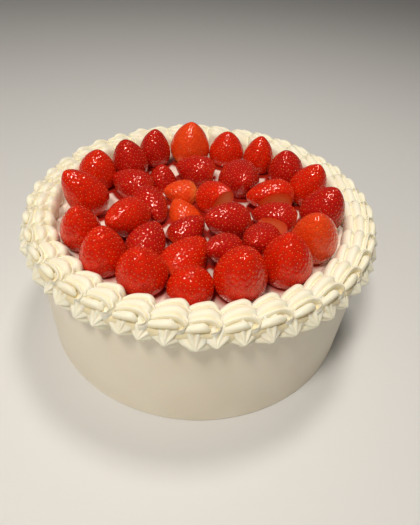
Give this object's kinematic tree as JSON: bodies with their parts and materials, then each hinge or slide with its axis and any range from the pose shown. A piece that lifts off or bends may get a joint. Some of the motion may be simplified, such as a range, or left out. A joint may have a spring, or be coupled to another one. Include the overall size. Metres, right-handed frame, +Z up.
{
  "type": "strawberry cream cake",
  "caption": "Whole round cake coated in smooth white cream, with a piped border of cream swirls and star kisses and glazed strawberries inside the border.",
  "frame": {"origin": "the middle of the cake's flat underside, on the surface that it rests on", "axes": "+Z up through the cake to its strawberries, -Y towards the side that the picture shows, +X to the viewer's right"},
  "size_m": [0.2372, 0.2378, 0.1149],
  "materials": {
    "cream_coat": "smooth spread whipped cream, satin",
    "piped_cream": "piped whipped cream, soft satin",
    "berry_red": "clear glazed ripe strawberry, glossy",
    "berry_dark": "clear glazed dark ripe strawberry, glossy",
    "berry_orange": "clear glazed orange-red strawberry, glossy"
  },
  "bodies": {
    "root": {"cake_body": "cream_coat", "piped_border": "piped_cream", "strawberry_01": "berry_red", "strawberry_02": "berry_dark", "strawberry_03": "berry_dark", "strawberry_04": "berry_orange", "strawberry_05": "berry_red", "strawberry_06": "berry_red", "strawberry_07": "berry_dark", "strawberry_08": "berry_red", "strawberry_09": "berry_dark", "strawberry_10": "berry_orange", "strawberry_11": "berry_red", "strawberry_12": "berry_red", "strawberry_13": "berry_red", "strawberry_14": "berry_red", "strawberry_15": "berry_red", "strawberry_16": "berry_red", "strawberry_17": "berry_red", "strawberry_18": "berry_dark", "strawberry_19": "berry_dark", "strawberry_20": "berry_dark", "strawberry_21": "berry_dark", "strawberry_22": "berry_orange", "strawberry_23": "berry_orange", "strawberry_24": "berry_red", "strawberry_25": "berry_dark", "strawberry_26": "berry_red", "strawberry_27": "berry_dark", "strawberry_28": "berry_dark", "strawberry_29": "berry_dark", "strawberry_30": "berry_dark", "strawberry_31": "berry_red", "strawberry_32": "berry_dark", "strawberry_33": "berry_red", "strawberry_34": "berry_dark"}
  },
  "joints": []
}
